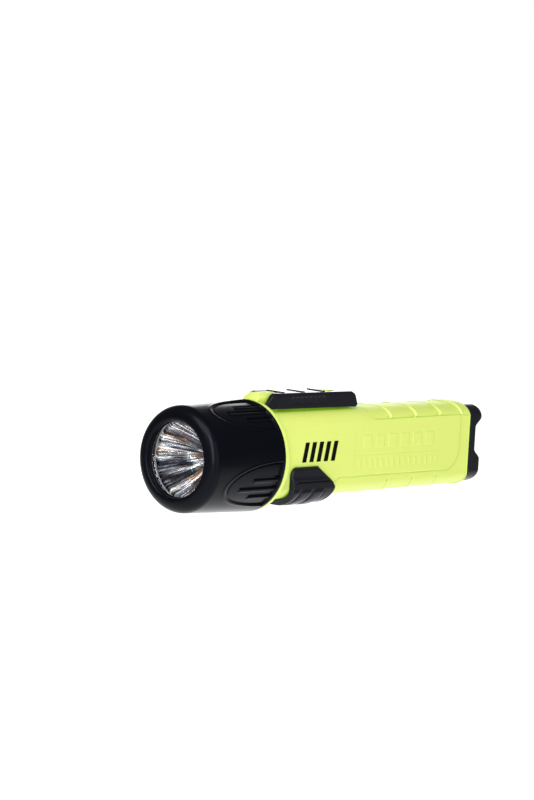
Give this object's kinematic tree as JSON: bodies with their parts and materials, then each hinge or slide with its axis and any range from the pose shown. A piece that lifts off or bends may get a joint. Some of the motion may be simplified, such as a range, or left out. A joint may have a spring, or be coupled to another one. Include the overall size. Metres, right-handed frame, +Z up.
{
  "type": "flashlight",
  "caption": "Flat-bodied firefighter's safety flashlight with a screw-on round head, a magnetic slide switch underneath and a sprung clip along the top.",
  "frame": {"origin": "on the beam axis, in the flat rear face of the tail cap between its two bumper lobes", "axes": "the beam leaves towards -Y and the tail points to +Y, +Z points up towards the clip, the slide switch is on the -Z side"},
  "size_m": [0.045, 0.173, 0.0479],
  "materials": {
    "yellow_body": "satin, moulded, fluorescent yellow-green",
    "black_head": "satin, finely textured",
    "black_plastic": "satin, moulded",
    "seal_rubber": "matt",
    "grey_plastic": "moulded",
    "clear_window": "clear, polished polycarbonate",
    "clear_glass": "clear glass tube",
    "mirror_coat": "vacuum-coated, bright",
    "amber_emitter": "silicone dome over phosphor",
    "white_board": "white solder mask",
    "green_board": "solder mask",
    "aluminium": "turned",
    "steel": "bright",
    "brass": "plated",
    "cell_sleeve": "plain printed sleeve"
  },
  "bodies": {
    "case": {"body_shell": "yellow_body", "body_seal": "seal_rubber", "tail_cap": "black_plastic", "battery_carrier": "grey_plastic", "cell_upper_front": "cell_sleeve", "cell_upper_rear": "cell_sleeve", "cell_lower_front": "cell_sleeve", "cell_lower_rear": "cell_sleeve", "cell_spring_upper": "steel", "cell_spring_lower": "steel", "series_link": "brass", "positive_pin": "brass", "negative_pin": "brass", "reed_switch": "clear_glass", "reed_board": "green_board", "clip_pin": "steel"},
    "light_unit": {"reflector": "mirror_coat", "led_emitter": "amber_emitter", "led_board": "white_board", "heat_sink": "aluminium", "board_screw_1": "steel", "board_screw_2": "steel", "unit_housing": "grey_plastic", "driver_board": "green_board", "contact_board": "green_board", "positive_pad": "brass", "negative_pad": "brass"},
    "screw_head": {"head_ring": "black_head", "lens": "clear_window", "lens_seal": "seal_rubber", "retaining_ring": "steel"},
    "switch": {"slider": "black_plastic", "slider_magnet": "steel"},
    "belt_clip": {"clip": "black_plastic", "clip_spring": "steel"}
  },
  "joints": [
    {"name": "head_advance", "type": "slide", "parent": "case", "child": "light_unit", "axis": [0, -1, 0], "range_m": [0, 0.0061]},
    {"name": "head_turn", "type": "hinge", "parent": "light_unit", "child": "screw_head", "pos_m": [0, -0.1489, 0], "axis": [0, -1, 0], "range_deg": [0, 540]},
    {"name": "switch_slide", "type": "slide", "parent": "case", "child": "switch", "axis": [0, -1, 0], "range_m": [0, 0.007]},
    {"name": "clip_hinge", "type": "hinge", "parent": "case", "child": "belt_clip", "pos_m": [0, -0.1199, 0.0216], "axis": [1, 0, 0], "range_deg": [0, 12], "stiffness_Nm_per_rad": 0.2}
  ],
  "couplings": [
    {"joint": "head_advance", "follows": "head_turn", "m_per_rad": 0.00063662}
  ]
}
